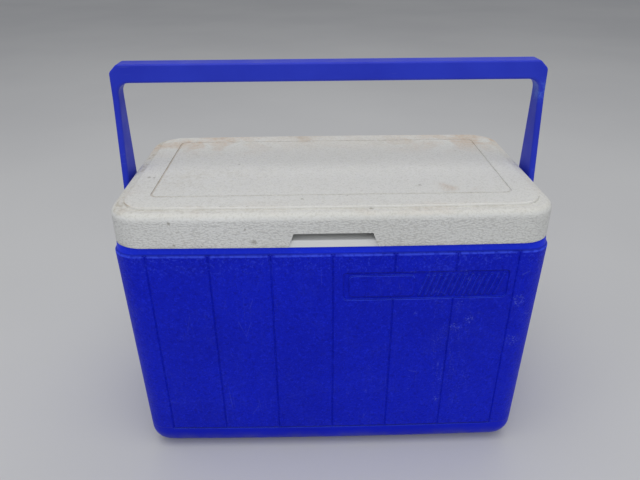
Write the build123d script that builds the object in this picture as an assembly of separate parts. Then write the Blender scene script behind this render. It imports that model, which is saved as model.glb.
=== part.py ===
from build123d import *
import math
import os

# A small hard-sided lunch cooler: insulated tub, hinged lid and a swinging bail.
# Millimetres. The origin is the middle of the base, +Z is up and the front faces -Y.

# Body
body_top = 249.2            # top edge of the outer shell
body_half_width = 199.4     # over the panels, at their top edge
body_half_depth = 107.2     # the same, at the middle of the bowed front
body_corner = 23.0
body_draft = 1.0            # degrees, every wall leans in towards the base
face_bow = 2.4              # how far the long faces bulge at their middle
shell_wall = 3.9
shell_floor = 3.2
base_round = 24.0

# Smooth rim band above the panels, set back and leaning in
rim_set_back = 1.3
rim_lean = 8.0              # degrees

# Panels, marked out by grooves
panel_top = 241.3
panel_bottom = 28.9
panel_top_round = 1.1
panel_pitch = 56.0
groove_width = 1.0          # at the bottom of the groove
groove_flare = 0.45         # extra width on each side at its mouth
groove_depth = 0.9
foot_line_height = 1.1      # fine line along the foot of the panels
foot_line_depth = 0.6
side_groove_pitch = 50.0

# Badge on the front: a recess with a blank plate and a row of slanted ribs
badge_left = 9.4
badge_right = 162.0
badge_bottom = 192.0
badge_top = 221.4
badge_depth = 1.3
plate_right = 75.0
badge_margin = 3.4
rib_count = 13
rib_width = 2.2
rib_slant = 7.0             # how far a rib's top is to the right of its foot

# Liner
liner_top = 255.9
liner_wall = 2.2
tub_half_width = 176.0      # outside, at the rim
tub_half_depth = 88.0
tub_corner = 22.0
tub_floor = 22.0            # underside of the tub
tub_draft = 1.3
rim_half_width = 193.9
rim_half_depth = 107.2
rim_corner = 26.6
rim_wall = 2.4
rim_foot = 1.6              # thickness of the foot that covers the shell's top edge

# Lid
lid_bottom = 251.2
lid_half_width = 197.5
lid_half_depth = 111.0
lid_corner = 30.0
lid_wall = 2.6
shelf_height = 283.0
lid_edge_round = 7.0
plateau_top = 285.5
plateau_inset = 11.3
border_inset = 32.8         # shallow line pressed into the top
border_front_shift = 2.6
border_width = 1.8
border_depth = 0.7
plug_gap = 3.3              # between the lid's plug and the tub
plug_bottom = 245.0
pan_wall = 2.4
seat_gap = 0.3              # lid pan above the tub's rim, when closed

# Finger notch in the lid's front skirt
notch_half_bottom = 39.5
notch_half_top = 34.5
notch_top = 264.3
notch_back = -90.0
notch_wall = 2.4

# Bail and its pivots
pivot_height = 205.0
bail_top = 389.3
bar_height = 17.4
bar_half_depth = 10.0
arm_inner = 201.2           # inner face, beside the lid
arm_thickness = 5.6
arm_lean = 3.2              # how far the arms draw in by the time they reach the bar
arm_lean_start = 240.0
bail_corner_cut = 7.5
bail_corner_round = 5.0
bail_inner_corner = 11.0
bail_inner_round = 2.8      # rounding of the edges that face the hand
bail_outer_round = 1.8
arm_half_depth_at_lid = 17.0
arm_lid_height = 272.0
eye_radius = 19.0
stud_radius = 5.0
running_clearance = 0.06
side_gap = 0.3
boss_face = 199.9
boss_radius = 17.0
washer_radius = 15.0
stud_head_radius = 11.0
stud_head_thickness = 2.8
nut_face = 194.0
nut_thickness = 5.0

# Strap hinges on the rear
hinge_offset = 110.0
leaf_width = 44.0
leaf_thickness = 2.2
leaf_seat = 109.8           # plane that both leaves lie on
web_thickness = 1.6
lower_crease = 246.6
upper_crease = 251.4
crease_gap = 0.4
body_leaf_bottom = 213.0
lid_leaf_top = 273.0
pad_margin = 2.0
screw_spread = 14.0
screw_radius = 1.6
screw_head_radius = 3.6
screw_head_thickness = 1.5
body_screw_height = 226.0
lid_screw_height = 264.0
screw_boss_radius = 4.2

foam_gap = 0.2


def outline(half_width, half_depth, corner, height=0.0):
    """Plan shape: straight sides, bowed long faces, rounded corners."""
    edge = half_depth - face_bow
    front = ThreePointArc((-half_width, -edge), (0, -half_depth), (half_width, -edge))
    right = Line((half_width, -edge), (half_width, edge))
    back = ThreePointArc((half_width, edge), (0, half_depth), (-half_width, edge))
    left = Line((-half_width, edge), (-half_width, -edge))
    face = make_face([front, right, back, left])
    return Pos(0, 0, height) * fillet(face.vertices(), corner)


def leaning_form(top, bottom, half_width, half_depth, corner, draft):
    """A solid whose walls lean in from its top outline down to its bottom."""
    face = outline(half_width, half_depth, corner, top)
    return extrude(face, amount=top - bottom, dir=(0, 0, -1), taper=draft)


def drawn_in(draft, drop):
    return drop * math.tan(math.radians(draft))


def body_form(inset, top, bottom):
    """The body's outside form, drawn in by inset, between two heights."""
    change = inset + drawn_in(body_draft, panel_top - top)
    return leaning_form(
        top, bottom, body_half_width - change, body_half_depth - change, body_corner - change, body_draft
    )


def block(x0, x1, y0, y1, z0, z1):
    return Pos((x0 + x1) / 2, (y0 + y1) / 2, (z0 + z1) / 2) * Box(x1 - x0, y1 - y0, z1 - z0)


def rod_x(radius, x0, x1, y, z):
    """Round bar along X."""
    return Pos((x0 + x1) / 2, y, z) * Rot(0, 90, 0) * Cylinder(radius, abs(x1 - x0))


def rod_y(radius, y0, y1, x, z):
    """Round bar along Y."""
    return Pos(x, (y0 + y1) / 2, z) * Rot(90, 0, 0) * Cylinder(radius, abs(y1 - y0))


def front_prism(points, y0, y1):
    """A shape drawn in X and Z, pushed through from y0 to y1."""
    face = make_face(Polyline([(x, y0, z) for x, z in points], close=True))
    return extrude(face, amount=y1 - y0, dir=(0, 1, 0))


def one_solid(shape):
    """The single solid of a finished sub-part."""
    return shape.solids()[0]


# ---- outer shell ----


def groove_cutters():
    """Upright grooves between the panels, leaning with the walls and open at the top."""
    lean = math.tan(math.radians(body_draft))
    cutters = []
    half = groove_width / 2
    mouth = half + groove_flare * 2
    for number in range(7):
        x = (number - 3) * panel_pitch
        bow = face_bow * (x / body_half_width) ** 2
        bottom = body_half_depth - bow - groove_depth
        reach = bottom + groove_depth * 2
        for side in (-1, 1):
            points = [(x - half, side * bottom), (x + half, side * bottom), (x + mouth, side * reach),
                      (x - mouth, side * reach)]
            cutters.append(leaning_groove(points, (0, -side * lean, -1)))
    for number in range(4):
        y = (number - 1.5) * side_groove_pitch
        bottom = body_half_width - groove_depth
        reach = bottom + groove_depth * 2
        for side in (-1, 1):
            points = [(side * bottom, y - half), (side * bottom, y + half), (side * reach, y + mouth),
                      (side * reach, y - mouth)]
            cutters.append(leaning_groove(points, (-side * lean, 0, -1)))
    return cutters


def leaning_groove(points, direction):
    face = make_face(Polyline([(x, y, panel_top) for x, y in points], close=True))
    length = (panel_top - panel_bottom) / math.cos(math.radians(body_draft))
    return extrude(face, amount=length, dir=direction)


def foot_line():
    """Fine line along the foot of the panels, on all four walls."""
    top = panel_bottom + foot_line_height
    long_faces = block(-3 * panel_pitch, 3 * panel_pitch, -130, 130, panel_bottom, top)
    short_faces = block(-230, 230, -1.5 * side_groove_pitch, 1.5 * side_groove_pitch, panel_bottom, top)
    return long_faces + short_faces - body_form(foot_line_depth, top, panel_bottom)


def rounded_prism(x0, x1, z0, z1, rounding, steps=4):
    """A rectangle with rounded corners, drawn in X and Z and pushed through the front wall."""
    points = []
    corners = [(x1 - rounding, z0 + rounding, -90), (x1 - rounding, z1 - rounding, 0),
               (x0 + rounding, z1 - rounding, 90), (x0 + rounding, z0 + rounding, 180)]
    for x, z, start in corners:
        for step in range(steps + 1):
            angle = math.radians(start + 90 * step / steps)
            points.append((x + rounding * math.cos(angle), z + rounding * math.sin(angle)))
    return front_prism(points, -130, -90)


def badge_block():
    """Rounded block that bounds the badge's recess."""
    return rounded_prism(badge_left, badge_right, badge_bottom, badge_top, 3.5)


def badge_cutter():
    """What is cut away around the blank plate and the ribs."""
    low = badge_bottom + badge_margin
    high = badge_top - badge_margin
    cutter = badge_block() - rounded_prism(badge_left + badge_margin + 2, plate_right, low, high, 4.0)
    first = plate_right + 4.0
    step = (badge_right - badge_margin - rib_width - rib_slant - first) / (rib_count - 1)
    for number in range(rib_count):
        x = first + number * step
        points = [(x, low), (x + rib_width, low), (x + rib_width + rib_slant, high), (x + rib_slant, high)]
        cutter -= front_prism(points, -130, -90)
    return cutter - body_form(badge_depth, panel_top, panel_bottom)


def rim_band():
    """Smooth band above the panels; the liner's rim sits on its top edge."""
    start = panel_top - panel_top_round
    band = outline(
        body_half_width - rim_set_back, body_half_depth - rim_set_back, body_corner - rim_set_back, start
    )
    return extrude(band, amount=body_top - start, dir=(0, 0, 1), taper=rim_lean)


def hinge_pad(x):
    """Flat pad on the rear wall, under a hinge leaf."""
    half = leaf_width / 2 + pad_margin
    pad = block(x - half, x + half, 98, leaf_seat, body_leaf_bottom - pad_margin, lower_crease - crease_gap)
    return chamfer(pad.faces().sort_by(Axis.Y)[-1].edges(), 1.0)


def outer_shell():
    shell = body_form(0, panel_top, 0)
    shell = fillet(shell.faces().sort_by(Axis.Z)[0].edges(), base_round)
    shell = fillet(shell.faces().sort_by(Axis.Z)[-1].edges(), panel_top_round)
    keep = badge_block()
    for cutter in groove_cutters():
        shell -= cutter - keep
    shell -= foot_line()
    shell += rim_band()
    for x in (-hinge_offset, hinge_offset):
        shell += hinge_pad(x)
    shell -= badge_cutter()
    cavity = body_form(shell_wall, body_top, shell_floor)
    cavity = fillet(cavity.faces().sort_by(Axis.Z)[0].edges(), base_round - shell_wall)
    shell -= cavity
    for side in (-1, 1):
        shell += rod_x(boss_radius, side * nut_face, side * boss_face, 0, pivot_height)
        shell -= rod_x(stud_radius + running_clearance, side * 185, side * 202, 0, pivot_height)
    for x in screw_columns():
        shell -= rod_y(screw_radius + 0.05, 104.0, 112, x, body_screw_height)
    return one_solid(shell)


# ---- tub and foam ----


def tub_form(inset, top, bottom, rounding):
    """The tub's form, drawn in by inset, between two heights."""
    change = inset + drawn_in(tub_draft, liner_top - top)
    form = leaning_form(
        top, bottom, tub_half_width - change, tub_half_depth - change, tub_corner - change, tub_draft
    )
    return fillet(form.faces().sort_by(Axis.Z)[0].edges(), rounding)


def rim_hollow(inset):
    """The space under the liner's rim, drawn in by inset."""
    change = rim_wall + inset
    under = outline(rim_half_width - change, rim_half_depth - change, rim_corner - change, body_top)
    return extrude(under, amount=liner_top - rim_wall - inset - body_top, dir=(0, 0, 1))


def inner_liner():
    """White tub with a hollow rim that caps the shell's top edge."""
    rim = outline(rim_half_width, rim_half_depth, rim_corner, body_top)
    rim = extrude(rim, amount=liner_top - body_top, dir=(0, 0, 1))
    rim = fillet(rim.faces().sort_by(Axis.Z)[-1].edges(), 1.6)
    foot = rim_set_back + drawn_in(rim_lean, body_top - panel_top + panel_top_round) + 0.3
    rim += body_form(foot, body_top, body_top - rim_foot).moved(Pos(0, 0, rim_foot))
    rim -= rim_hollow(0)
    tub = rim + tub_form(0, liner_top, tub_floor, 14.0)
    tub -= tub_form(liner_wall, liner_top, tub_floor + liner_wall, 12.0)
    mouth = tub.edges().group_by(Axis.Z)[-1]
    inner_mouth = mouth.filter_by(lambda edge: abs(edge.center().Y) < tub_half_depth + 1
                                  and abs(edge.center().X) < tub_half_width + 1)
    return one_solid(fillet(inner_mouth, 1.2))


def body_insulation():
    """Foam that fills the space between the shell and the tub."""
    foam = body_form(shell_wall + foam_gap, body_top, shell_floor + foam_gap)
    foam = fillet(foam.faces().sort_by(Axis.Z)[0].edges(), base_round - shell_wall)
    foam += rim_hollow(foam_gap) + rim_hollow(2).moved(Pos(0, 0, -3))
    foam -= tub_form(-foam_gap, liner_top + 1, tub_floor - foam_gap, 14.0)
    for side in (-1, 1):
        foam -= rod_x(boss_radius + foam_gap, side * 184, side * 196, 0, pivot_height)
    return one_solid(foam)


# ---- lid ----


def lid_form(inset, bottom, shelf, rounding):
    face = outline(lid_half_width - inset, lid_half_depth - inset, lid_corner - inset, bottom)
    form = extrude(face, amount=shelf - bottom, dir=(0, 0, 1))
    return fillet(form.faces().sort_by(Axis.Z)[-1].edges(), rounding)


def plateau_form(inset, bottom, top, rounding):
    change = plateau_inset + inset
    face = outline(lid_half_width - change, lid_half_depth - change, lid_corner - change + 3, bottom)
    form = extrude(face, amount=top - bottom, dir=(0, 0, 1))
    return fillet(form.faces().sort_by(Axis.Z)[-1].edges(), rounding)


def notch_form(grow, bottom, back):
    """Finger notch: narrower at its top, open below and in front."""
    wide = notch_half_bottom + grow
    narrow = notch_half_top + grow
    slope = (wide - narrow) / (notch_top - lid_bottom)
    low = wide + slope * (lid_bottom - bottom)
    points = [(-low, bottom), (low, bottom), (narrow, notch_top + grow), (-narrow, notch_top + grow)]
    return front_prism(points, -lid_half_depth - 2, back)


def border_line():
    """Shallow line pressed into the lid's top, set in from the plateau's edge."""
    def ring(inset):
        half_width = lid_half_width - border_inset - inset
        half_depth = lid_half_depth - border_inset - inset
        face = Rectangle(2 * half_width, 2 * half_depth)
        return Pos(0, border_front_shift, plateau_top - border_depth) * fillet(face.vertices(), 7.0 - inset)
    return extrude(ring(0) - ring(border_width), amount=border_depth + 1, dir=(0, 0, 1))


def lid_cover():
    """Moulded top shell with its skirt, finger notch and screw bosses."""
    cover = lid_form(0, lid_bottom, shelf_height, lid_edge_round)
    cover += plateau_form(0, shelf_height - 4, plateau_top, 1.2)
    cover -= lid_form(lid_wall, lid_bottom, shelf_height - lid_wall, lid_edge_round - lid_wall)
    cover -= plateau_form(lid_wall, shelf_height - 6, plateau_top - lid_wall, 1.0)
    seat = liner_top + seat_gap + pan_wall + foam_gap
    pocket = notch_form(notch_wall, seat - 2.3, notch_back + notch_wall)
    cover += pocket & lid_form(0.5, lid_bottom, shelf_height, lid_edge_round)
    cover -= notch_form(0, lid_bottom - 2, notch_back)
    for x in screw_columns():
        cover += rod_y(screw_boss_radius, 100, 108.5, x, lid_screw_height)
        cover -= rod_y(screw_radius + 0.05, 101.5, 113, x, lid_screw_height)
    for x in (-hinge_offset, hinge_offset):
        half = leaf_width / 2 + 0.5
        cover -= block(x - half, x + half, leaf_seat, 116, lid_bottom - 1, lid_leaf_top + 1)
    cover -= border_line()
    return one_solid(cover)


def lid_liner():
    """Pan that closes the lid from below, with a plug that drops into the tub."""
    low = liner_top + seat_gap
    inset = lid_wall + foam_gap
    face = outline(lid_half_width - inset, lid_half_depth - inset, lid_corner - inset, low)
    pan = extrude(face, amount=pan_wall, dir=(0, 0, 1))
    pan += plug_form(0, plug_bottom, low + pan_wall, 4.0)
    pan -= plug_form(pan_wall, plug_bottom + pan_wall, low + pan_wall, 2.0)
    pan -= notch_form(notch_wall + foam_gap, low - 6, notch_back + notch_wall + foam_gap)
    return one_solid(pan)


def plug_form(inset, bottom, top, rounding):
    change = inset + liner_wall + plug_gap
    face = outline(tub_half_width - change, tub_half_depth - change, tub_corner - change + 2, bottom)
    form = extrude(face, amount=top - bottom, dir=(0, 0, 1))
    return fillet(form.faces().sort_by(Axis.Z)[0].edges(), rounding)


def lid_insulation():
    """Foam that fills the lid between its cover and its pan."""
    seat = liner_top + seat_gap + pan_wall + foam_gap
    inset = lid_wall + foam_gap
    foam = lid_form(inset, seat, shelf_height - inset, lid_edge_round - inset)
    foam += plateau_form(inset, shelf_height - 7, plateau_top - inset, 1.0)
    foam += plug_form(pan_wall + foam_gap, plug_bottom + pan_wall + foam_gap, seat + 1, 2.0)
    foam -= notch_form(notch_wall + foam_gap, seat - 6, notch_back + notch_wall + foam_gap)
    for x in screw_columns():
        foam -= rod_y(screw_boss_radius + foam_gap, 99.5, 112, x, lid_screw_height)
    return one_solid(foam)


# ---- strap hinges ----


def screw_columns():
    return [side * hinge_offset + step for side in (-1, 1) for step in (-screw_spread, screw_spread)]


def hinge_leaf(x, bottom, top, screw_height):
    """Flat leaf of a strap hinge with its two screw holes."""
    half = leaf_width / 2
    leaf = block(x - half, x + half, leaf_seat, leaf_seat + leaf_thickness, bottom, top)
    leaf = fillet(leaf.edges().filter_by(Axis.Y), 1.5)
    leaf = fillet(leaf.faces().sort_by(Axis.Y)[-1].edges(), 0.5)
    for step in (-screw_spread, screw_spread):
        leaf -= rod_y(screw_radius + 0.1, leaf_seat - 1, leaf_seat + 4, x + step, screw_height)
    return one_solid(leaf)


def hinge_web(x):
    """Thin moulded web between the two creases of a strap hinge."""
    half = leaf_width / 2
    middle = leaf_seat + leaf_thickness / 2
    web = block(x - half, x + half, middle - web_thickness / 2, middle + web_thickness / 2,
                lower_crease + crease_gap, upper_crease - crease_gap)
    return one_solid(fillet(web.edges().filter_by(Axis.X), 0.4))


def hinge_screws(height, length):
    """Pan-head screws with a cross recess, all at one height."""
    face = leaf_seat + leaf_thickness
    screws = []
    for x in screw_columns():
        head = rod_y(screw_head_radius, face, face + screw_head_thickness, x, height)
        head = fillet(head.faces().sort_by(Axis.Y)[-1].edges(), 0.9)
        screw = head + rod_y(screw_radius, face - length, face + 0.2, x, height)
        outer = face + screw_head_thickness
        screw -= block(x - 1.9, x + 1.9, outer - 0.8, outer + 1, height - 0.4, height + 0.4)
        screw -= block(x - 0.4, x + 0.4, outer - 0.8, outer + 1, height - 1.9, height + 1.9)
        screws.append(one_solid(screw))
    return Compound(children=screws)


# ---- bail and pivots ----


def bail_front_shape():
    """The bail's U, drawn in X and Z, with its outer corners cut off and rounded."""
    under = bail_top - bar_height
    foot = pivot_height - eye_radius - 1
    outside = arm_inner + arm_thickness
    half = [(outside - arm_lean, bail_top), (outside, arm_lean_start), (outside, foot), (arm_inner, foot),
            (arm_inner, arm_lean_start), (arm_inner - arm_lean, under)]
    points = half + [(-x, z) for x, z in reversed(half)]
    depth = eye_radius + 2
    face = make_face(Polyline([(x, -depth, z) for x, z in points], close=True))
    face = chamfer([point for point in face.vertices() if point.Z > bail_top - 0.1], bail_corner_cut)
    cut_corners = [point for point in face.vertices() if point.Z > bail_top - bail_corner_cut - 1]
    face = fillet(cut_corners, bail_corner_round)
    inside = [point for point in face.vertices() if abs(point.Z - under) < 0.01]
    face = fillet(inside, bail_inner_corner)
    return extrude(face, amount=2 * depth, dir=(0, 1, 0))


def bail_side_shape():
    """The bail seen from the side: a round eye, and arms that narrow to the bar."""
    reach = arm_inner + arm_thickness + 2
    narrow = bail_top - bar_height - bail_inner_corner - 4
    points = [(-eye_radius, pivot_height), (-arm_half_depth_at_lid, arm_lid_height),
              (-bar_half_depth, narrow), (-bar_half_depth, bail_top + 1)]
    points += [(-y, z) for y, z in reversed(points)]
    face = make_face(Polyline([(-reach, y, z) for y, z in points], close=True))
    arms = extrude(face, amount=2 * reach, dir=(1, 0, 0))
    return arms + rod_x(eye_radius, -reach, reach, 0, pivot_height)


def bail_handle():
    bail = bail_front_shape() & bail_side_shape()
    middle = arm_inner + arm_thickness / 2

    def long_edges(inner):
        """The edges that run up the arms and along the bar, on the U's inside or outside."""
        def wanted(edge):
            place = edge.center()
            inside = abs(place.X) < middle and place.Z < bail_top - bar_height + 0.2
            return inside == inner and abs(place.Y) > 8 and place.Z > pivot_height + 1.5 * eye_radius
        return bail.edges().filter_by(wanted)

    bail = fillet(long_edges(True), bail_inner_round)
    bail = fillet(long_edges(False), bail_outer_round)
    for side in (-1, 1):
        bail -= rod_x(stud_radius + running_clearance, side * 195, side * 210, 0, pivot_height)
    return one_solid(bail)


def pivot_stud(side):
    """Shoulder stud with a domed head; its thin end takes the nut."""
    head_face = arm_inner + arm_thickness + side_gap
    head_end = head_face + stud_head_thickness
    thread_end = nut_face - nut_thickness - 1
    head = rod_x(stud_head_radius, side * head_face, side * head_end, 0, pivot_height)
    outer = head.faces().sort_by(Axis.X)[-1 if side > 0 else 0]
    head = fillet(outer.edges(), 1.8)
    stud = head + rod_x(stud_radius, side * nut_face, side * (head_face + 0.5), 0, pivot_height)
    stud += rod_x(stud_radius - 1, side * thread_end, side * (nut_face + 1), 0, pivot_height)
    return one_solid(stud)


def pivot_washer(side):
    washer = rod_x(washer_radius, side * boss_face, side * (arm_inner - side_gap), 0, pivot_height)
    washer -= rod_x(stud_radius + running_clearance, side * 190, side * 205, 0, pivot_height)
    return one_solid(washer)


def pivot_nut(side):
    face = Plane.YZ.offset(side * nut_face) * RegularPolygon(7.5, 6)
    nut = extrude(face, amount=nut_thickness, dir=(-side, 0, 0)).moved(Pos(0, 0, pivot_height))
    nut -= rod_x(stud_radius - 1 + 0.03, side * 180, side * 200, 0, pivot_height)
    return one_solid(nut)


def all_parts():
    parts = {
        "outer_shell": outer_shell(),
        "inner_liner": inner_liner(),
        "body_insulation": body_insulation(),
        "lid_cover": lid_cover(),
        "lid_liner": lid_liner(),
        "lid_insulation": lid_insulation(),
        "bail_handle": bail_handle(),
        "hinge_body_screws": hinge_screws(body_screw_height, 7.5),
        "hinge_lid_screws": hinge_screws(lid_screw_height, 9.5),
    }
    for name, side in (("left", -1), ("right", 1)):
        x = side * hinge_offset
        parts[name + "_pivot_stud"] = pivot_stud(side)
        parts[name + "_pivot_washer"] = pivot_washer(side)
        parts[name + "_pivot_nut"] = pivot_nut(side)
        parts[name + "_hinge_body_leaf"] = hinge_leaf(
            x, body_leaf_bottom, lower_crease - crease_gap, body_screw_height)
        parts[name + "_hinge_web"] = hinge_web(x)
        parts[name + "_hinge_lid_leaf"] = hinge_leaf(
            x, upper_crease + crease_gap, lid_leaf_top, lid_screw_height)
    return parts


os.makedirs("parts", exist_ok=True)
for node, shape in all_parts().items():
    export_step(shape, f"parts/{node}.step")
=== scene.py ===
import math

import bpy
from mathutils import Matrix, Vector


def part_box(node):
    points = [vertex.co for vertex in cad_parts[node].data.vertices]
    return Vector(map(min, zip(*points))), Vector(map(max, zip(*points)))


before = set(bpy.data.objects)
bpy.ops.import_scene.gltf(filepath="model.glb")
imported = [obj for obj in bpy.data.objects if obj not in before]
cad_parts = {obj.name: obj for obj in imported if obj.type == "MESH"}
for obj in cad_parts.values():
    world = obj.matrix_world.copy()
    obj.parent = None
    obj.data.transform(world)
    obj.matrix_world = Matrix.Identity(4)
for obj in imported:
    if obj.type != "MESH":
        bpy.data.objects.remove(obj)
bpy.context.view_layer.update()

MM = 0.001


# ---- node helpers ----


class Shader:
    """Builds one node material. Its pattern space is the node's own, which is the cooler's frame at rest."""

    def __init__(self, name):
        self.material = bpy.data.materials.new(name)
        self.material.use_nodes = True
        self.tree = self.material.node_tree
        self.surface = self.tree.nodes["Principled BSDF"]
        coordinates = self.tree.nodes.new("ShaderNodeTexCoord")
        self.place = coordinates.outputs["Object"]
        split = self.add("ShaderNodeSeparateXYZ", {"Vector": self.place})
        self.x, self.y, self.z = (split.outputs[axis] for axis in "XYZ")

    def add(self, kind, inputs=None, **settings):
        node = self.tree.nodes.new(kind)
        for key, value in settings.items():
            setattr(node, key, value)
        for key, value in (inputs or {}).items():
            self.put(node.inputs[key], value)
        return node

    def put(self, socket, value):
        if isinstance(value, bpy.types.NodeSocket):
            self.tree.links.new(value, socket)
        else:
            socket.default_value = value

    def math(self, operation, first, second=0.0, third=0.0, clamp=False):
        inputs = {0: first, 1: second, 2: third}
        return self.add("ShaderNodeMath", inputs, operation=operation, use_clamp=clamp).outputs[0]

    def times(self, *values):
        result = values[0]
        for value in values[1:]:
            result = self.math("MULTIPLY", result, value)
        return result

    def fade(self, value, start, end, low=0.0, high=1.0):
        """Smooth step from low at start to high at end."""
        settings = {"interpolation_type": "SMOOTHSTEP", "clamp": True}
        node = self.add("ShaderNodeMapRange", {0: value, 1: start, 2: end, 3: low, 4: high}, **settings)
        return node.outputs[0]

    def band(self, value, low, high, soft):
        """1 between low and high, fading to 0 over soft outside them."""
        rise = self.fade(value, low - soft, low)
        return self.times(rise, self.fade(value, high, high + soft, 1.0, 0.0))

    def stretched(self, x=1.0, y=1.0, z=1.0, turn=0.0):
        inputs = {"Vector": self.place, "Scale": (x, y, z), "Rotation": (0.0, turn, 0.0)}
        return self.add("ShaderNodeMapping", inputs).outputs[0]

    def vector_of(self, value, reach):
        """The same offset along all three axes, centred on zero."""
        offset = self.times(self.math("SUBTRACT", value, 0.5), reach * 2)
        return self.add("ShaderNodeCombineXYZ", {"X": offset, "Y": offset, "Z": offset}).outputs[0]

    def noise(self, scale, detail=3.0, vector=None, distortion=0.0, roughness=0.5):
        inputs = {"Vector": vector or self.place, "Scale": scale, "Detail": detail,
                  "Distortion": distortion, "Roughness": roughness}
        return self.add("ShaderNodeTexNoise", inputs).outputs[0]

    def cells(self, scale, vector=None, feature="SMOOTH_F1", randomness=1.0):
        inputs = {"Vector": vector or self.place, "Scale": scale, "Randomness": randomness}
        node = self.add("ShaderNodeTexVoronoi", inputs, feature=feature)
        return node.outputs["Distance"]

    def mix(self, factor, first, second, blend="MIX"):
        node = self.add("ShaderNodeMix", data_type="RGBA", blend_type=blend)
        self.put(node.inputs[0], factor)
        self.put(node.inputs[6], first)
        self.put(node.inputs[7], second)
        return node.outputs[2]

    def spot(self, centre, radius, ragged=0.5):
        """A ragged round mark about a point."""
        inputs = {0: self.place, 1: centre}
        distance = self.add("ShaderNodeVectorMath", inputs, operation="DISTANCE").outputs["Value"]
        wobble = self.times(self.math("SUBTRACT", self.noise(900.0, 2.0), 0.5), radius * ragged * 2)
        return self.fade(self.math("ADD", distance, wobble), radius * 0.4, radius, 1.0, 0.0)

    def rounded_normal(self, radius=0.6 * MM):
        return self.add("ShaderNodeBevel", {"Radius": radius}, samples=6).outputs[0]

    def edge(self, rounded, sharpness=0.9):
        """1 on sharp edges, where the rounded normal leaves the flat one."""
        flat = self.add("ShaderNodeNewGeometry").outputs["Normal"]
        dot = self.add("ShaderNodeVectorMath", {0: rounded, 1: flat}, operation="DOT_PRODUCT")
        return self.fade(dot.outputs["Value"], sharpness, 0.999, 1.0, 0.0)

    def tilt(self, rounded):
        """How far the rounded normal leans from the flat one: above 0 up, below 0 down."""
        flat = self.add("ShaderNodeNewGeometry").outputs["Normal"]
        change = self.add("ShaderNodeVectorMath", {0: rounded, 1: flat}, operation="SUBTRACT").outputs[0]
        return self.add("ShaderNodeSeparateXYZ", {"Vector": change}).outputs["Z"]

    def bump(self, height, depth, strength=1.0, normal=None):
        inputs = {"Height": height, "Distance": depth, "Strength": strength}
        if normal:
            inputs["Normal"] = normal
        return self.add("ShaderNodeBump", inputs).outputs[0]

    def finish(self, colour, roughness, normal=None, specular=0.5):
        self.put(self.surface.inputs["Base Color"], colour)
        self.put(self.surface.inputs["Roughness"], roughness)
        self.surface.inputs["Specular IOR Level"].default_value = specular
        if normal:
            self.put(self.surface.inputs["Normal"], normal)
        return self.material


def rgb(red, green, blue):
    return (red, green, blue, 1.0)


# ---- materials ----

LID_LOW, LID_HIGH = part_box("lid_cover")
BAIL_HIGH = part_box("bail_handle")[1]
# The tub's grained panels, the step where its rim band begins, and half the width of a front panel.
PANEL_LOW, PANEL_HIGH = 31 * MM, 239 * MM
RIM_LINE = 241 * MM
HALF_PANEL = 28 * MM


def shell_colour(s, panels, leather):
    """Royal blue in slow clouds, with haze on the panels, painted shade in the grain's valleys and painted
    highlights on its crests.
    """
    cloud = s.noise(9.0, 4.0)
    base = s.mix(s.fade(cloud, 0.3, 0.7), rgb(0.0008, 0.0085, 0.52), rgb(0.0016, 0.0112, 0.60))
    patches = s.fade(s.noise(42.0, 6.0, None, 0.6, 0.65), 0.46, 0.66)
    haze = s.times(patches, s.fade(s.noise(330.0, 3.0), 0.4, 0.62))
    base = s.mix(s.times(haze, panels, 0.06), base, rgb(0.08, 0.12, 0.62))
    # Painted shade in the valleys of the leather grain.
    base = s.mix(s.times(s.fade(leather, 0.48, 0.36), panels, 0.60), base, rgb(0.0003, 0.004, 0.36))
    # Painted highlight on the crests of the leather grain.
    return s.mix(s.times(s.fade(leather, 0.54, 0.66), panels, 0.55), base, rgb(0.012, 0.030, 0.80))


def shell_edges(s, base, rounded):
    """Painted light on the rim band, painted highlights on upper edges and the panels' top edges, painted
    shade on lower edges, painted glints near the panel tops, and a painted shade line under the rim band.
    """
    # Painted light: the rim band, which leans back toward the light, is made paler.
    painted_rim_light = s.fade(s.z, RIM_LINE, RIM_LINE + 1 * MM)
    base = s.mix(s.times(painted_rim_light, 0.7), base, rgb(0.012, 0.040, 0.92))
    # Painted highlight on edges whose rounding leans up, varied by noise, and painted shade on edges whose
    # rounding leans down.
    tilt = s.tilt(rounded)
    rub_and_highlight = s.fade(s.noise(60.0, 5.0), 0.34, 0.60, 0.55, 1.0)
    base = s.mix(s.times(s.fade(tilt, 0.03, 0.24), rub_and_highlight, 0.85), base, rgb(0.045, 0.095, 0.98))
    base = s.mix(s.times(s.fade(tilt, -0.03, -0.20), 0.85), base, rgb(0.0003, 0.001, 0.10))

    # Painted highlight along the panels' top edges, broken at the grooves and by noise.
    off_grooves = s.fade(s.math("PINGPONG", s.x, HALF_PANEL), 1.6 * MM, 3.4 * MM)
    on_side = s.fade(s.math("ABSOLUTE", s.y), 101 * MM, 98 * MM)
    broken = s.fade(s.noise(260.0, 3.0), 0.36, 0.56, 0.35, 1.0)
    painted_top_edge_highlight = s.times(s.band(s.z, RIM_LINE - 1.5 * MM, RIM_LINE + 0.2 * MM, 0.5 * MM), broken)
    painted_top_edge_highlight = s.times(painted_top_edge_highlight, s.math("MAXIMUM", off_grooves, on_side))
    base = s.mix(s.times(painted_top_edge_highlight, 0.70), base, rgb(0.050, 0.100, 0.95))

    # Painted glints on grain crests near the panel tops.
    crests = s.fade(s.noise(420.0, 3.0), 0.54, 0.68)
    painted_glint = s.times(s.band(s.z, RIM_LINE - 13 * MM, RIM_LINE - 1 * MM, 12 * MM), crests)
    base = s.mix(s.times(painted_glint, 0.30), base, rgb(0.05, 0.09, 0.85))
    # Painted shade: a dark line in the step at the foot of the rim band, just above the panels' top edges.
    painted_valley_shade = s.band(s.z, RIM_LINE + 0.3 * MM, RIM_LINE + 1.3 * MM, 0.4 * MM)
    return s.mix(s.times(painted_valley_shade, 0.45), base, rgb(0.001, 0.004, 0.30))


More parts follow.
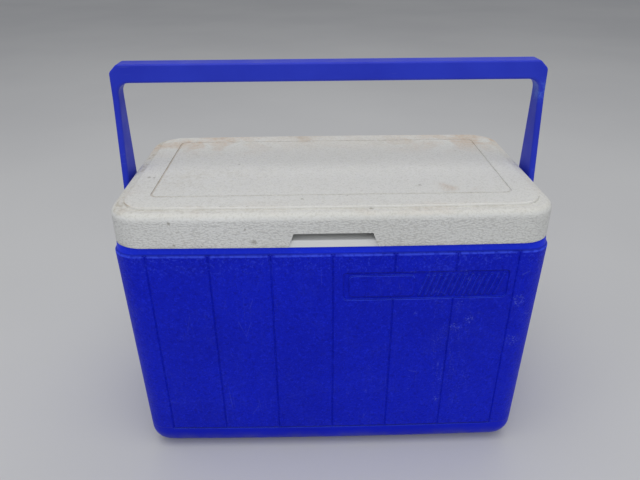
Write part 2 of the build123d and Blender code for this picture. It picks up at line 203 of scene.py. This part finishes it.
def shell_scuffs(s):
    """Where the front is scuffed: a streak below the badge, patches on the right half and ragged spots."""
    front = s.fade(s.y, -60 * MM, -90 * MM)
    speck = s.fade(s.noise(620.0, 4.0, None, 0.4, 0.6), 0.50, 0.68)
    lean = s.math("SUBTRACT", s.x, s.times(s.math("SUBTRACT", 190 * MM, s.z), 0.10))
    streak = s.times(s.band(lean, 96 * MM, 124 * MM, 9 * MM), s.band(s.z, 90 * MM, 188 * MM, 60 * MM))
    drawn_out = s.noise(75.0, 5.0, s.stretched(2.6, 1.0, 0.5, 0.1), 0.4, 0.65)
    streak = s.times(streak, s.fade(drawn_out, 0.44, 0.66))
    above = s.times(s.band(s.x, 60 * MM, 150 * MM, 20 * MM), s.band(s.z, 196 * MM, 236 * MM, 6 * MM))
    above = s.times(above, s.fade(s.noise(110.0, 4.0), 0.60, 0.72))
    scuff = s.math("ADD", s.times(streak, 0.40), s.times(above, 0.4), clamp=True)
    wide = s.times(s.band(s.x, 0.0, 185 * MM, 25 * MM), s.band(s.z, 35 * MM, 200 * MM, 20 * MM))
    wide = s.times(wide, s.fade(s.noise(95.0, 4.0), 0.63, 0.74))
    scuff = s.times(s.math("ADD", scuff, s.times(wide, 0.35), clamp=True), front, speck)
    spots = [((175, -103, 188), 8), ((176, -101, 140), 8), ((118, -105, 158), 7),
             ((131, -105, 168), 6), ((108, -105, 66), 5), ((122, -105, 186), 3)]
    for (x, y, z), radius in spots:
        spot = s.spot((x * MM, y * MM, z * MM), radius * MM, 1.0)
        scuff = s.math("ADD", scuff, s.times(spot, speck), clamp=True)
    return scuff


def blue_shell():
    """Pebbled royal blue plastic, smooth on the rim and base bands, scuffed below the badge."""
    s = Shader("blue_shell_plastic")
    panels = s.band(s.z, PANEL_LOW, PANEL_HIGH, 1.5 * MM)
    leather = s.noise(340.0, 4.0, None, 1.2, 0.65)
    rounded = s.rounded_normal(1.2 * MM)
    base = shell_edges(s, shell_colour(s, panels, leather), rounded)

    cracks = s.cells(26.0, s.stretched(5.0, 1.0, 0.35, 0.35), "DISTANCE_TO_EDGE")
    scratch = s.fade(cracks, 0.0, 0.010, 1.0, 0.0)
    scratch = s.times(scratch, s.fade(s.noise(20.0, 3.0), 0.55, 0.68))
    wear = s.math("ADD", s.times(shell_scuffs(s), 0.40), s.times(scratch, 0.12), clamp=True)
    base = s.mix(wear, base, rgb(0.28, 0.36, 0.78))
    dust = s.times(s.fade(s.z, 26 * MM, 8 * MM), s.fade(s.noise(55.0, 5.0), 0.38, 0.66))
    base = s.mix(s.times(dust, 0.30), base, rgb(0.12, 0.13, 0.22))

    grain = s.noise(560.0, 3.0, None, 0.8)
    pebble = s.cells(380.0)
    height = s.math("ADD", s.times(grain, 0.7), s.times(pebble, 0.6))
    height = s.math("ADD", height, s.times(leather, 0.9))
    height = s.times(height, s.math("ADD", s.times(panels, 0.9), 0.1))
    normal = s.bump(height, 0.55 * MM, 0.85, rounded)
    wave = s.bump(s.noise(14.0, 1.0), 1.2 * MM, 0.12, normal)
    roughness = s.fade(s.noise(80.0, 4.0), 0.3, 0.7, 0.38, 0.46)
    roughness = s.math("ADD", roughness, s.math("ADD", s.times(wear, 0.3), s.times(panels, 0.08)))
    return s.finish(base, roughness, wave, 0.13)


def blue_bail():
    """Smooth blue plastic of the bail, with handling scratches and one pale scuff."""
    s = Shader("blue_bail_plastic")
    base = s.mix(s.fade(s.noise(14.0, 3.0), 0.3, 0.7), rgb(0.010, 0.026, 0.52), rgb(0.016, 0.038, 0.60))
    rounded = s.rounded_normal(0.8 * MM)
    edge = s.times(s.edge(rounded), s.fade(s.noise(60.0, 4.0), 0.35, 0.6))
    base = s.mix(s.times(edge, 0.3), base, rgb(0.10, 0.15, 0.72))
    scuff = (BAIL_HIGH.x - 4 * MM, 0.0, BAIL_HIGH.z - 27 * MM)
    rub_and_highlight = s.times(s.spot(scuff, 15 * MM, 0.6), s.fade(s.noise(160.0, 4.0), 0.3, 0.62))
    base = s.mix(s.times(rub_and_highlight, 0.75), base, rgb(0.12, 0.24, 0.80))
    lines = s.noise(90.0, 5.0, s.stretched(0.25, 3.0, 3.0), 0.3, 0.7)
    hair = s.times(s.fade(lines, 0.6, 0.7), s.fade(s.noise(30.0, 2.0), 0.45, 0.65))
    base = s.mix(s.times(hair, 0.18), base, rgb(0.20, 0.26, 0.70))
    normal = s.bump(s.noise(420.0, 3.0), 0.05 * MM, 0.4, rounded)
    roughness = s.fade(s.noise(40.0, 4.0), 0.3, 0.7, 0.40, 0.52)
    return s.finish(base, roughness, normal, 0.32)


def lid_inset(s, across, along):
    """How far in from the lid's bowed outline a point of its top lies."""
    bow = s.times(s.math("POWER", s.math("DIVIDE", across, LID_HIGH.x), 2.0), 2.4 * MM)
    depth = s.math("SUBTRACT", s.math("SUBTRACT", -LID_LOW.y, bow), along)
    return s.math("SMOOTH_MIN", s.math("SUBTRACT", LID_HIGH.x, across), depth, third=14 * MM)


def lid_grime(s, base, top, inset, smear, pepper):
    """Brown grime on the step round the top, and in the line engraved on it, most at the left."""
    step_line = s.band(inset, 6.5 * MM, 11.4 * MM, 2.5 * MM)
    step_line = s.times(step_line, top, s.fade(smear, 0.0, 1.0, 0.4, 1.0))
    left = s.times(s.fade(s.x, -60 * MM, -150 * MM), 0.45)
    rear_left = s.math("ADD", left, s.fade(s.y, 10 * MM, 90 * MM, 0.28, 0.55))
    grime = s.times(step_line, rear_left, s.fade(pepper, 0.0, 1.0, 0.35, 1.0))
    base = s.mix(grime, base, rgb(0.46, 0.42, 0.34))

    plateau = LID_HIGH.z
    pit = s.fade(s.z, plateau - 0.15 * MM, plateau - 0.45 * MM)
    pit = s.times(pit, s.fade(s.z, plateau - 1.2 * MM, plateau - 0.9 * MM))
    left_line = s.fade(s.x, -140 * MM, -158 * MM, 0.06, 0.72)
    return s.mix(s.times(pit, left_line, s.fade(smear, 0.0, 1.0, 0.45, 1.0)), base, rgb(0.42, 0.30, 0.18))


def lid_stains(s, base, top, across, inset, smear, pepper):
    """Tan stains to the rear and near the edges, four ragged patches, a broad haze and dark flecks."""
    rear = s.times(s.fade(s.y, 20 * MM, 80 * MM), s.fade(across, 40 * MM, 140 * MM, 0.25, 1.0), top)
    stain = s.times(rear, s.fade(s.noise(30.0, 5.0, None, 0.8), 0.34, 0.60))
    near = s.times(s.fade(inset, 30 * MM, 8 * MM), top, s.fade(s.noise(24.0, 5.0, None, 0.5), 0.45, 0.68))
    tint = s.math("ADD", s.times(stain, 0.75), s.times(near, 0.20), clamp=True)
    base = s.mix(s.times(tint, s.fade(pepper, 0.0, 1.0, 0.6, 1.0)), base, rgb(0.60, 0.46, 0.34))
    for x, y, radius in [(-29, 88, 15), (170, 74, 20), (-172, 84, 12), (118, -58, 20)]:
        patch = s.spot((x * MM, y * MM, LID_HIGH.z), radius * MM, 1.2)
        base = s.mix(s.times(patch, smear, 0.5), base, rgb(0.50, 0.36, 0.24))
    broad = s.times(s.fade(s.noise(11.0, 5.0, None, 0.5), 0.5, 0.72), s.fade(s.noise(240.0, 3.0), 0.4, 0.6))
    base = s.mix(s.times(broad, 0.20), base, rgb(0.46, 0.41, 0.32))
    fleck = s.times(s.fade(s.noise(330.0, 2.0), 0.69, 0.76), s.fade(s.noise(24.0, 3.0), 0.44, 0.6))
    return s.mix(s.times(fleck, 0.5), base, rgb(0.27, 0.24, 0.21))


def lid_marks(s, base, across):
    """Small dark marks, grime along the lower edge, and shade inside the finger notch."""
    # On the skirt, in mm: across, in from the front edge, up from the lower edge, and the radius.
    skirt_marks = [(-69, 0, 6, 3.0), (-141, 1, 24, 2.0), (-139, 1, 3, 1.6), (-76, 0, 18, 1.4)]
    # On the top, in mm: across, along, down from its height, and the radius.
    top_marks = [(33, -101, 3, 2.4), (-176, -27, 0, 2.4), (-171, -28, 0, 1.8),
                 (83, -55, 0, 2.2), (-27, -84, 0, 1.8), (-92, 6, 0, 1.5)]
    spots = [s.spot((x * MM, LID_LOW.y + y * MM, LID_LOW.z + z * MM), radius * MM, 0.9)
             for x, y, z, radius in skirt_marks]
    spots += [s.spot((x * MM, y * MM, LID_HIGH.z - z * MM), radius * MM, 0.9)
              for x, y, z, radius in top_marks]
    for spot in spots:
        base = s.mix(s.times(spot, 0.55), base, rgb(0.18, 0.16, 0.12))
    lower = s.times(s.fade(s.z, LID_LOW.z + 3 * MM, LID_LOW.z), s.fade(s.noise(70.0, 4.0), 0.34, 0.62))
    base = s.mix(s.times(lower, 0.28), base, rgb(0.30, 0.28, 0.24))
    notch_depth = s.band(s.y, -107.4 * MM, -84 * MM, 0.6 * MM)
    under_roof = s.fade(s.z, 266 * MM, 263 * MM)
    between_ends = s.fade(across, 44 * MM, 41 * MM)
    return s.mix(s.times(notch_depth, under_roof, between_ends, 0.75), base, rgb(0.36, 0.36, 0.35))


def lid_grain(s, base):
    """Leather on the skirt and finer pebble on the top: the colour with painted shade in the valleys, and
    the height.
    """
    skirt = s.fade(s.z, LID_HIGH.z - 5.5 * MM, LID_HIGH.z - 9.5 * MM)
    warp = s.noise(110.0, 2.0)
    bent = s.add("ShaderNodeVectorMath", {0: s.stretched(0.80, 0.80, 1.3), 1: s.vector_of(warp, 2.0 * MM)})
    wavy = s.cells(520.0, bent.outputs[0], "F1", 0.9)
    leather = s.math("ADD", s.times(wavy, 0.9), s.times(s.noise(560.0, 2.0, bent.outputs[0], 0.5), 0.35))
    fine = s.noise(500.0, 3.0, None, 0.8)
    pebble = s.math("ADD", s.times(fine, 0.9), s.times(s.cells(360.0), 0.5))
    height = s.add("ShaderNodeMix", {0: skirt}, data_type="FLOAT")
    s.put(height.inputs[2], s.times(pebble, 0.8))
    s.put(height.inputs[3], leather)
    # Painted shade in the valleys of the skirt's leather grain.
    painted_valley_shade = s.times(s.fade(wavy, 0.42, 0.80), skirt)
    base = s.mix(s.times(painted_valley_shade, 0.32), base, rgb(0.34, 0.33, 0.31))
    # Painted shade in the low points of the pebble on the top.
    low = s.times(s.fade(fine, 0.52, 0.36), s.math("SUBTRACT", 1.0, skirt))
    return s.mix(s.times(low, 0.30), base, rgb(0.44, 0.43, 0.37)), height.outputs[0]


def lid_plastic():
    """Off-white plastic: leather grain on the skirt, finer pebble on top, grime in the steps, and a painted
    highlight on the step's front edge.
    """
    s = Shader("lid_plastic")
    plateau = LID_HIGH.z
    top = s.fade(s.z, plateau - 7 * MM, plateau - 3.5 * MM)
    base = s.mix(s.fade(s.noise(7.0, 4.0), 0.3, 0.7), rgb(0.69, 0.695, 0.67), rgb(0.76, 0.765, 0.75))
    base = s.mix(s.times(top, 0.7), base, rgb(0.73, 0.72, 0.665))

    across = s.math("ABSOLUTE", s.x)
    inset = lid_inset(s, across, s.math("ABSOLUTE", s.y))
    smear = s.fade(s.noise(38.0, 5.0, None, 0.4), 0.42, 0.66)
    pepper = s.fade(s.noise(260.0, 4.0), 0.44, 0.62)
    base = lid_grime(s, base, top, inset, smear, pepper)
    base = lid_stains(s, base, top, across, inset, smear, pepper)
    base = lid_marks(s, base, across)
    base, height = lid_grain(s, base)

    # Painted highlight along the front edge of the plateau's step.
    painted_step_highlight = s.fade(s.z, plateau - 2.6 * MM, plateau - 1.8 * MM)
    painted_step_highlight = s.times(painted_step_highlight, s.fade(s.z, plateau - 0.1 * MM, plateau - 0.6 * MM))
    painted_step_highlight = s.times(painted_step_highlight, s.fade(s.y, -90 * MM, -97 * MM))
    base = s.mix(s.times(painted_step_highlight, 0.8), base, rgb(0.84, 0.84, 0.81))
    normal = s.bump(height, 0.9 * MM, 0.8, s.rounded_normal(0.7 * MM))
    roughness = s.fade(s.noise(60.0, 4.0), 0.3, 0.7, 0.52, 0.64)
    return s.finish(base, roughness, normal, 0.35)


def white_liner():
    """Smooth white plastic of the tub and the lid's pan, faintly yellowed and scratched."""
    s = Shader("white_liner_plastic")
    base = s.mix(s.fade(s.noise(8.0, 4.0), 0.3, 0.7), rgb(0.80, 0.81, 0.80), rgb(0.86, 0.87, 0.87))
    hair = s.fade(s.cells(14.0, s.stretched(1.0, 1.0, 4.0), "DISTANCE_TO_EDGE"), 0.0, 0.008, 1.0, 0.0)
    hair = s.times(hair, s.fade(s.noise(25.0, 3.0), 0.5, 0.66))
    base = s.mix(s.times(hair, 0.25), base, rgb(0.50, 0.49, 0.46))
    normal = s.bump(s.noise(300.0, 3.0), 0.04 * MM, 0.3, s.rounded_normal(0.5 * MM))
    return s.finish(base, s.fade(s.noise(35.0, 4.0), 0.3, 0.7, 0.28, 0.4), normal, 0.5)


def hinge_plastic():
    """Flexible off-white plastic, slightly waxy, with a moulded flow pattern."""
    s = Shader("hinge_plastic")
    base = s.mix(s.fade(s.noise(40.0, 4.0), 0.3, 0.7), rgb(0.60, 0.59, 0.54), rgb(0.69, 0.68, 0.63))
    rounded = s.rounded_normal(0.3 * MM)
    dirt = s.times(s.edge(rounded, 0.95), s.fade(s.noise(90.0, 4.0), 0.35, 0.6))
    base = s.mix(s.times(dirt, 0.3), base, rgb(0.35, 0.31, 0.25))
    normal = s.bump(s.noise(500.0, 2.0), 0.06 * MM, 0.4, rounded)
    return s.finish(base, s.fade(s.noise(60.0, 3.0), 0.3, 0.7, 0.42, 0.55), normal, 0.45)


def nylon():
    """Natural nylon of the pivot washers."""
    s = Shader("nylon")
    base = s.mix(s.noise(120.0, 3.0), rgb(0.62, 0.61, 0.54), rgb(0.70, 0.69, 0.62))
    return s.finish(base, 0.45, s.bump(s.noise(600.0, 2.0), 0.03 * MM, 0.4), 0.45)


def foam():
    """Rigid foam with open cut cells."""
    s = Shader("rigid_foam")
    base = s.mix(s.cells(500.0), rgb(0.62, 0.50, 0.28), rgb(0.74, 0.63, 0.40))
    return s.finish(base, 0.9, s.bump(s.cells(500.0), 0.3 * MM, 0.8), 0.2)


def steel():
    """Plated steel of the screws and nuts, brushed with light tarnish."""
    s = Shader("plated_steel")
    tarnish = s.fade(s.noise(260.0, 4.0), 0.45, 0.7)
    base = s.mix(tarnish, rgb(0.56, 0.56, 0.55), rgb(0.38, 0.33, 0.26))
    s.surface.inputs["Metallic"].default_value = 1.0
    brushed = s.noise(900.0, 2.0, s.stretched(1.0, 1.0, 0.2))
    normal = s.bump(brushed, 0.03 * MM, 0.4, s.rounded_normal(0.2 * MM))
    return s.finish(base, s.fade(tarnish, 0.0, 1.0, 0.3, 0.5), normal, 0.5)


def dress():
    """Gives every CAD node its finished material."""
    shell, bail, lid = blue_shell(), blue_bail(), lid_plastic()
    liner, hinge, washer, core, metal = white_liner(), hinge_plastic(), nylon(), foam(), steel()
    finishes = {"outer_shell": shell, "bail_handle": bail, "lid_cover": lid, "inner_liner": liner,
                "lid_liner": liner, "body_insulation": core, "lid_insulation": core,
                "hinge_body_screws": metal, "hinge_lid_screws": metal}
    for side in ("left", "right"):
        finishes[side + "_pivot_stud"] = bail
        finishes[side + "_pivot_washer"] = washer
        finishes[side + "_pivot_nut"] = metal
        for piece in ("_hinge_body_leaf", "_hinge_web", "_hinge_lid_leaf"):
            finishes[side + piece] = hinge
    for node, material in finishes.items():
        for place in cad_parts[node].material_slots:
            place.material = material


# ---- stage, light and camera ----


def floor():
    """Pale paper floor, far wider than the view."""
    mesh = bpy.data.meshes.new("floor")
    reach = 6.0
    corners = [(-reach, -reach, 0), (reach, -reach, 0), (reach, reach, 0), (-reach, reach, 0)]
    mesh.from_pydata(corners, [], [(0, 1, 2, 3)])
    plane = bpy.data.objects.new("floor", mesh)
    bpy.context.scene.collection.objects.link(plane)
    s = Shader("floor_paper")
    base = s.mix(s.fade(s.noise(1.2, 3.0), 0.3, 0.7), rgb(0.60, 0.60, 0.60), rgb(0.64, 0.64, 0.635))
    mesh.materials.append(s.finish(base, 0.85, s.bump(s.noise(300.0, 2.0), 0.1 * MM, 0.2), 0.2))


def soft_light(name, place, aim, size, power):
    """A rectangular lamp of a size in metres and a power in watts, turned to its aim."""
    light = bpy.data.lights.new(name, "AREA")
    light.shape = "RECTANGLE"
    light.size, light.size_y = size
    light.energy = power
    lamp = bpy.data.objects.new(name, light)
    bpy.context.scene.collection.objects.link(lamp)
    lamp.location = place
    lamp.rotation_euler = (Vector(aim) - Vector(place)).to_track_quat("-Z", "Y").to_euler()


def lights():
    """Soft studio light from above, in front, the right and behind, in a pale surrounding."""
    middle = (0.0, 0.0, 0.18)
    soft_light("overhead", (-0.2, -0.6, 2.3), middle, (2.2, 1.3), 16.5)
    soft_light("front", (-0.2, -1.6, 1.4), middle, (1.2, 0.8), 7.8)
    soft_light("fill", (1.9, -1.2, 1.0), middle, (1.6, 1.6), 3.5)
    soft_light("rear", (0.2, 1.3, 2.3), middle, (2.4, 1.4), 8.0)
    world = bpy.data.worlds.new("soft_world")
    world.use_nodes = True
    background = world.node_tree.nodes["Background"]
    background.inputs["Color"].default_value = rgb(0.93, 0.95, 1.0)
    background.inputs["Strength"].default_value = 0.38
    bpy.context.scene.world = world
    bpy.context.scene.view_settings.view_transform = "Standard"


def camera():
    """Stands in front, a little left of the middle, looking down at the lid."""
    place = Vector((-0.0190, -0.5516, 0.4905))
    yaw, pitch, roll = 0.0164, 0.4850, -0.0070
    forward = Vector((math.sin(yaw) * math.cos(pitch), math.cos(yaw) * math.cos(pitch), -math.sin(pitch)))
    level = Vector((math.cos(yaw), -math.sin(yaw), 0.0))
    upright = level.cross(forward)
    right = math.cos(roll) * level + math.sin(roll) * upright
    up = -math.sin(roll) * level + math.cos(roll) * upright
    data = bpy.data.cameras.new("camera")
    data.sensor_width, data.lens = 36.0, 32.245
    data.clip_start = 0.01
    view = bpy.data.objects.new("camera", data)
    bpy.context.scene.collection.objects.link(view)
    view.matrix_world = Matrix.Translation(place) @ Matrix((right, up, -forward)).transposed().to_4x4()
    bpy.context.scene.camera = view


camera()
lights()
floor()
dress()
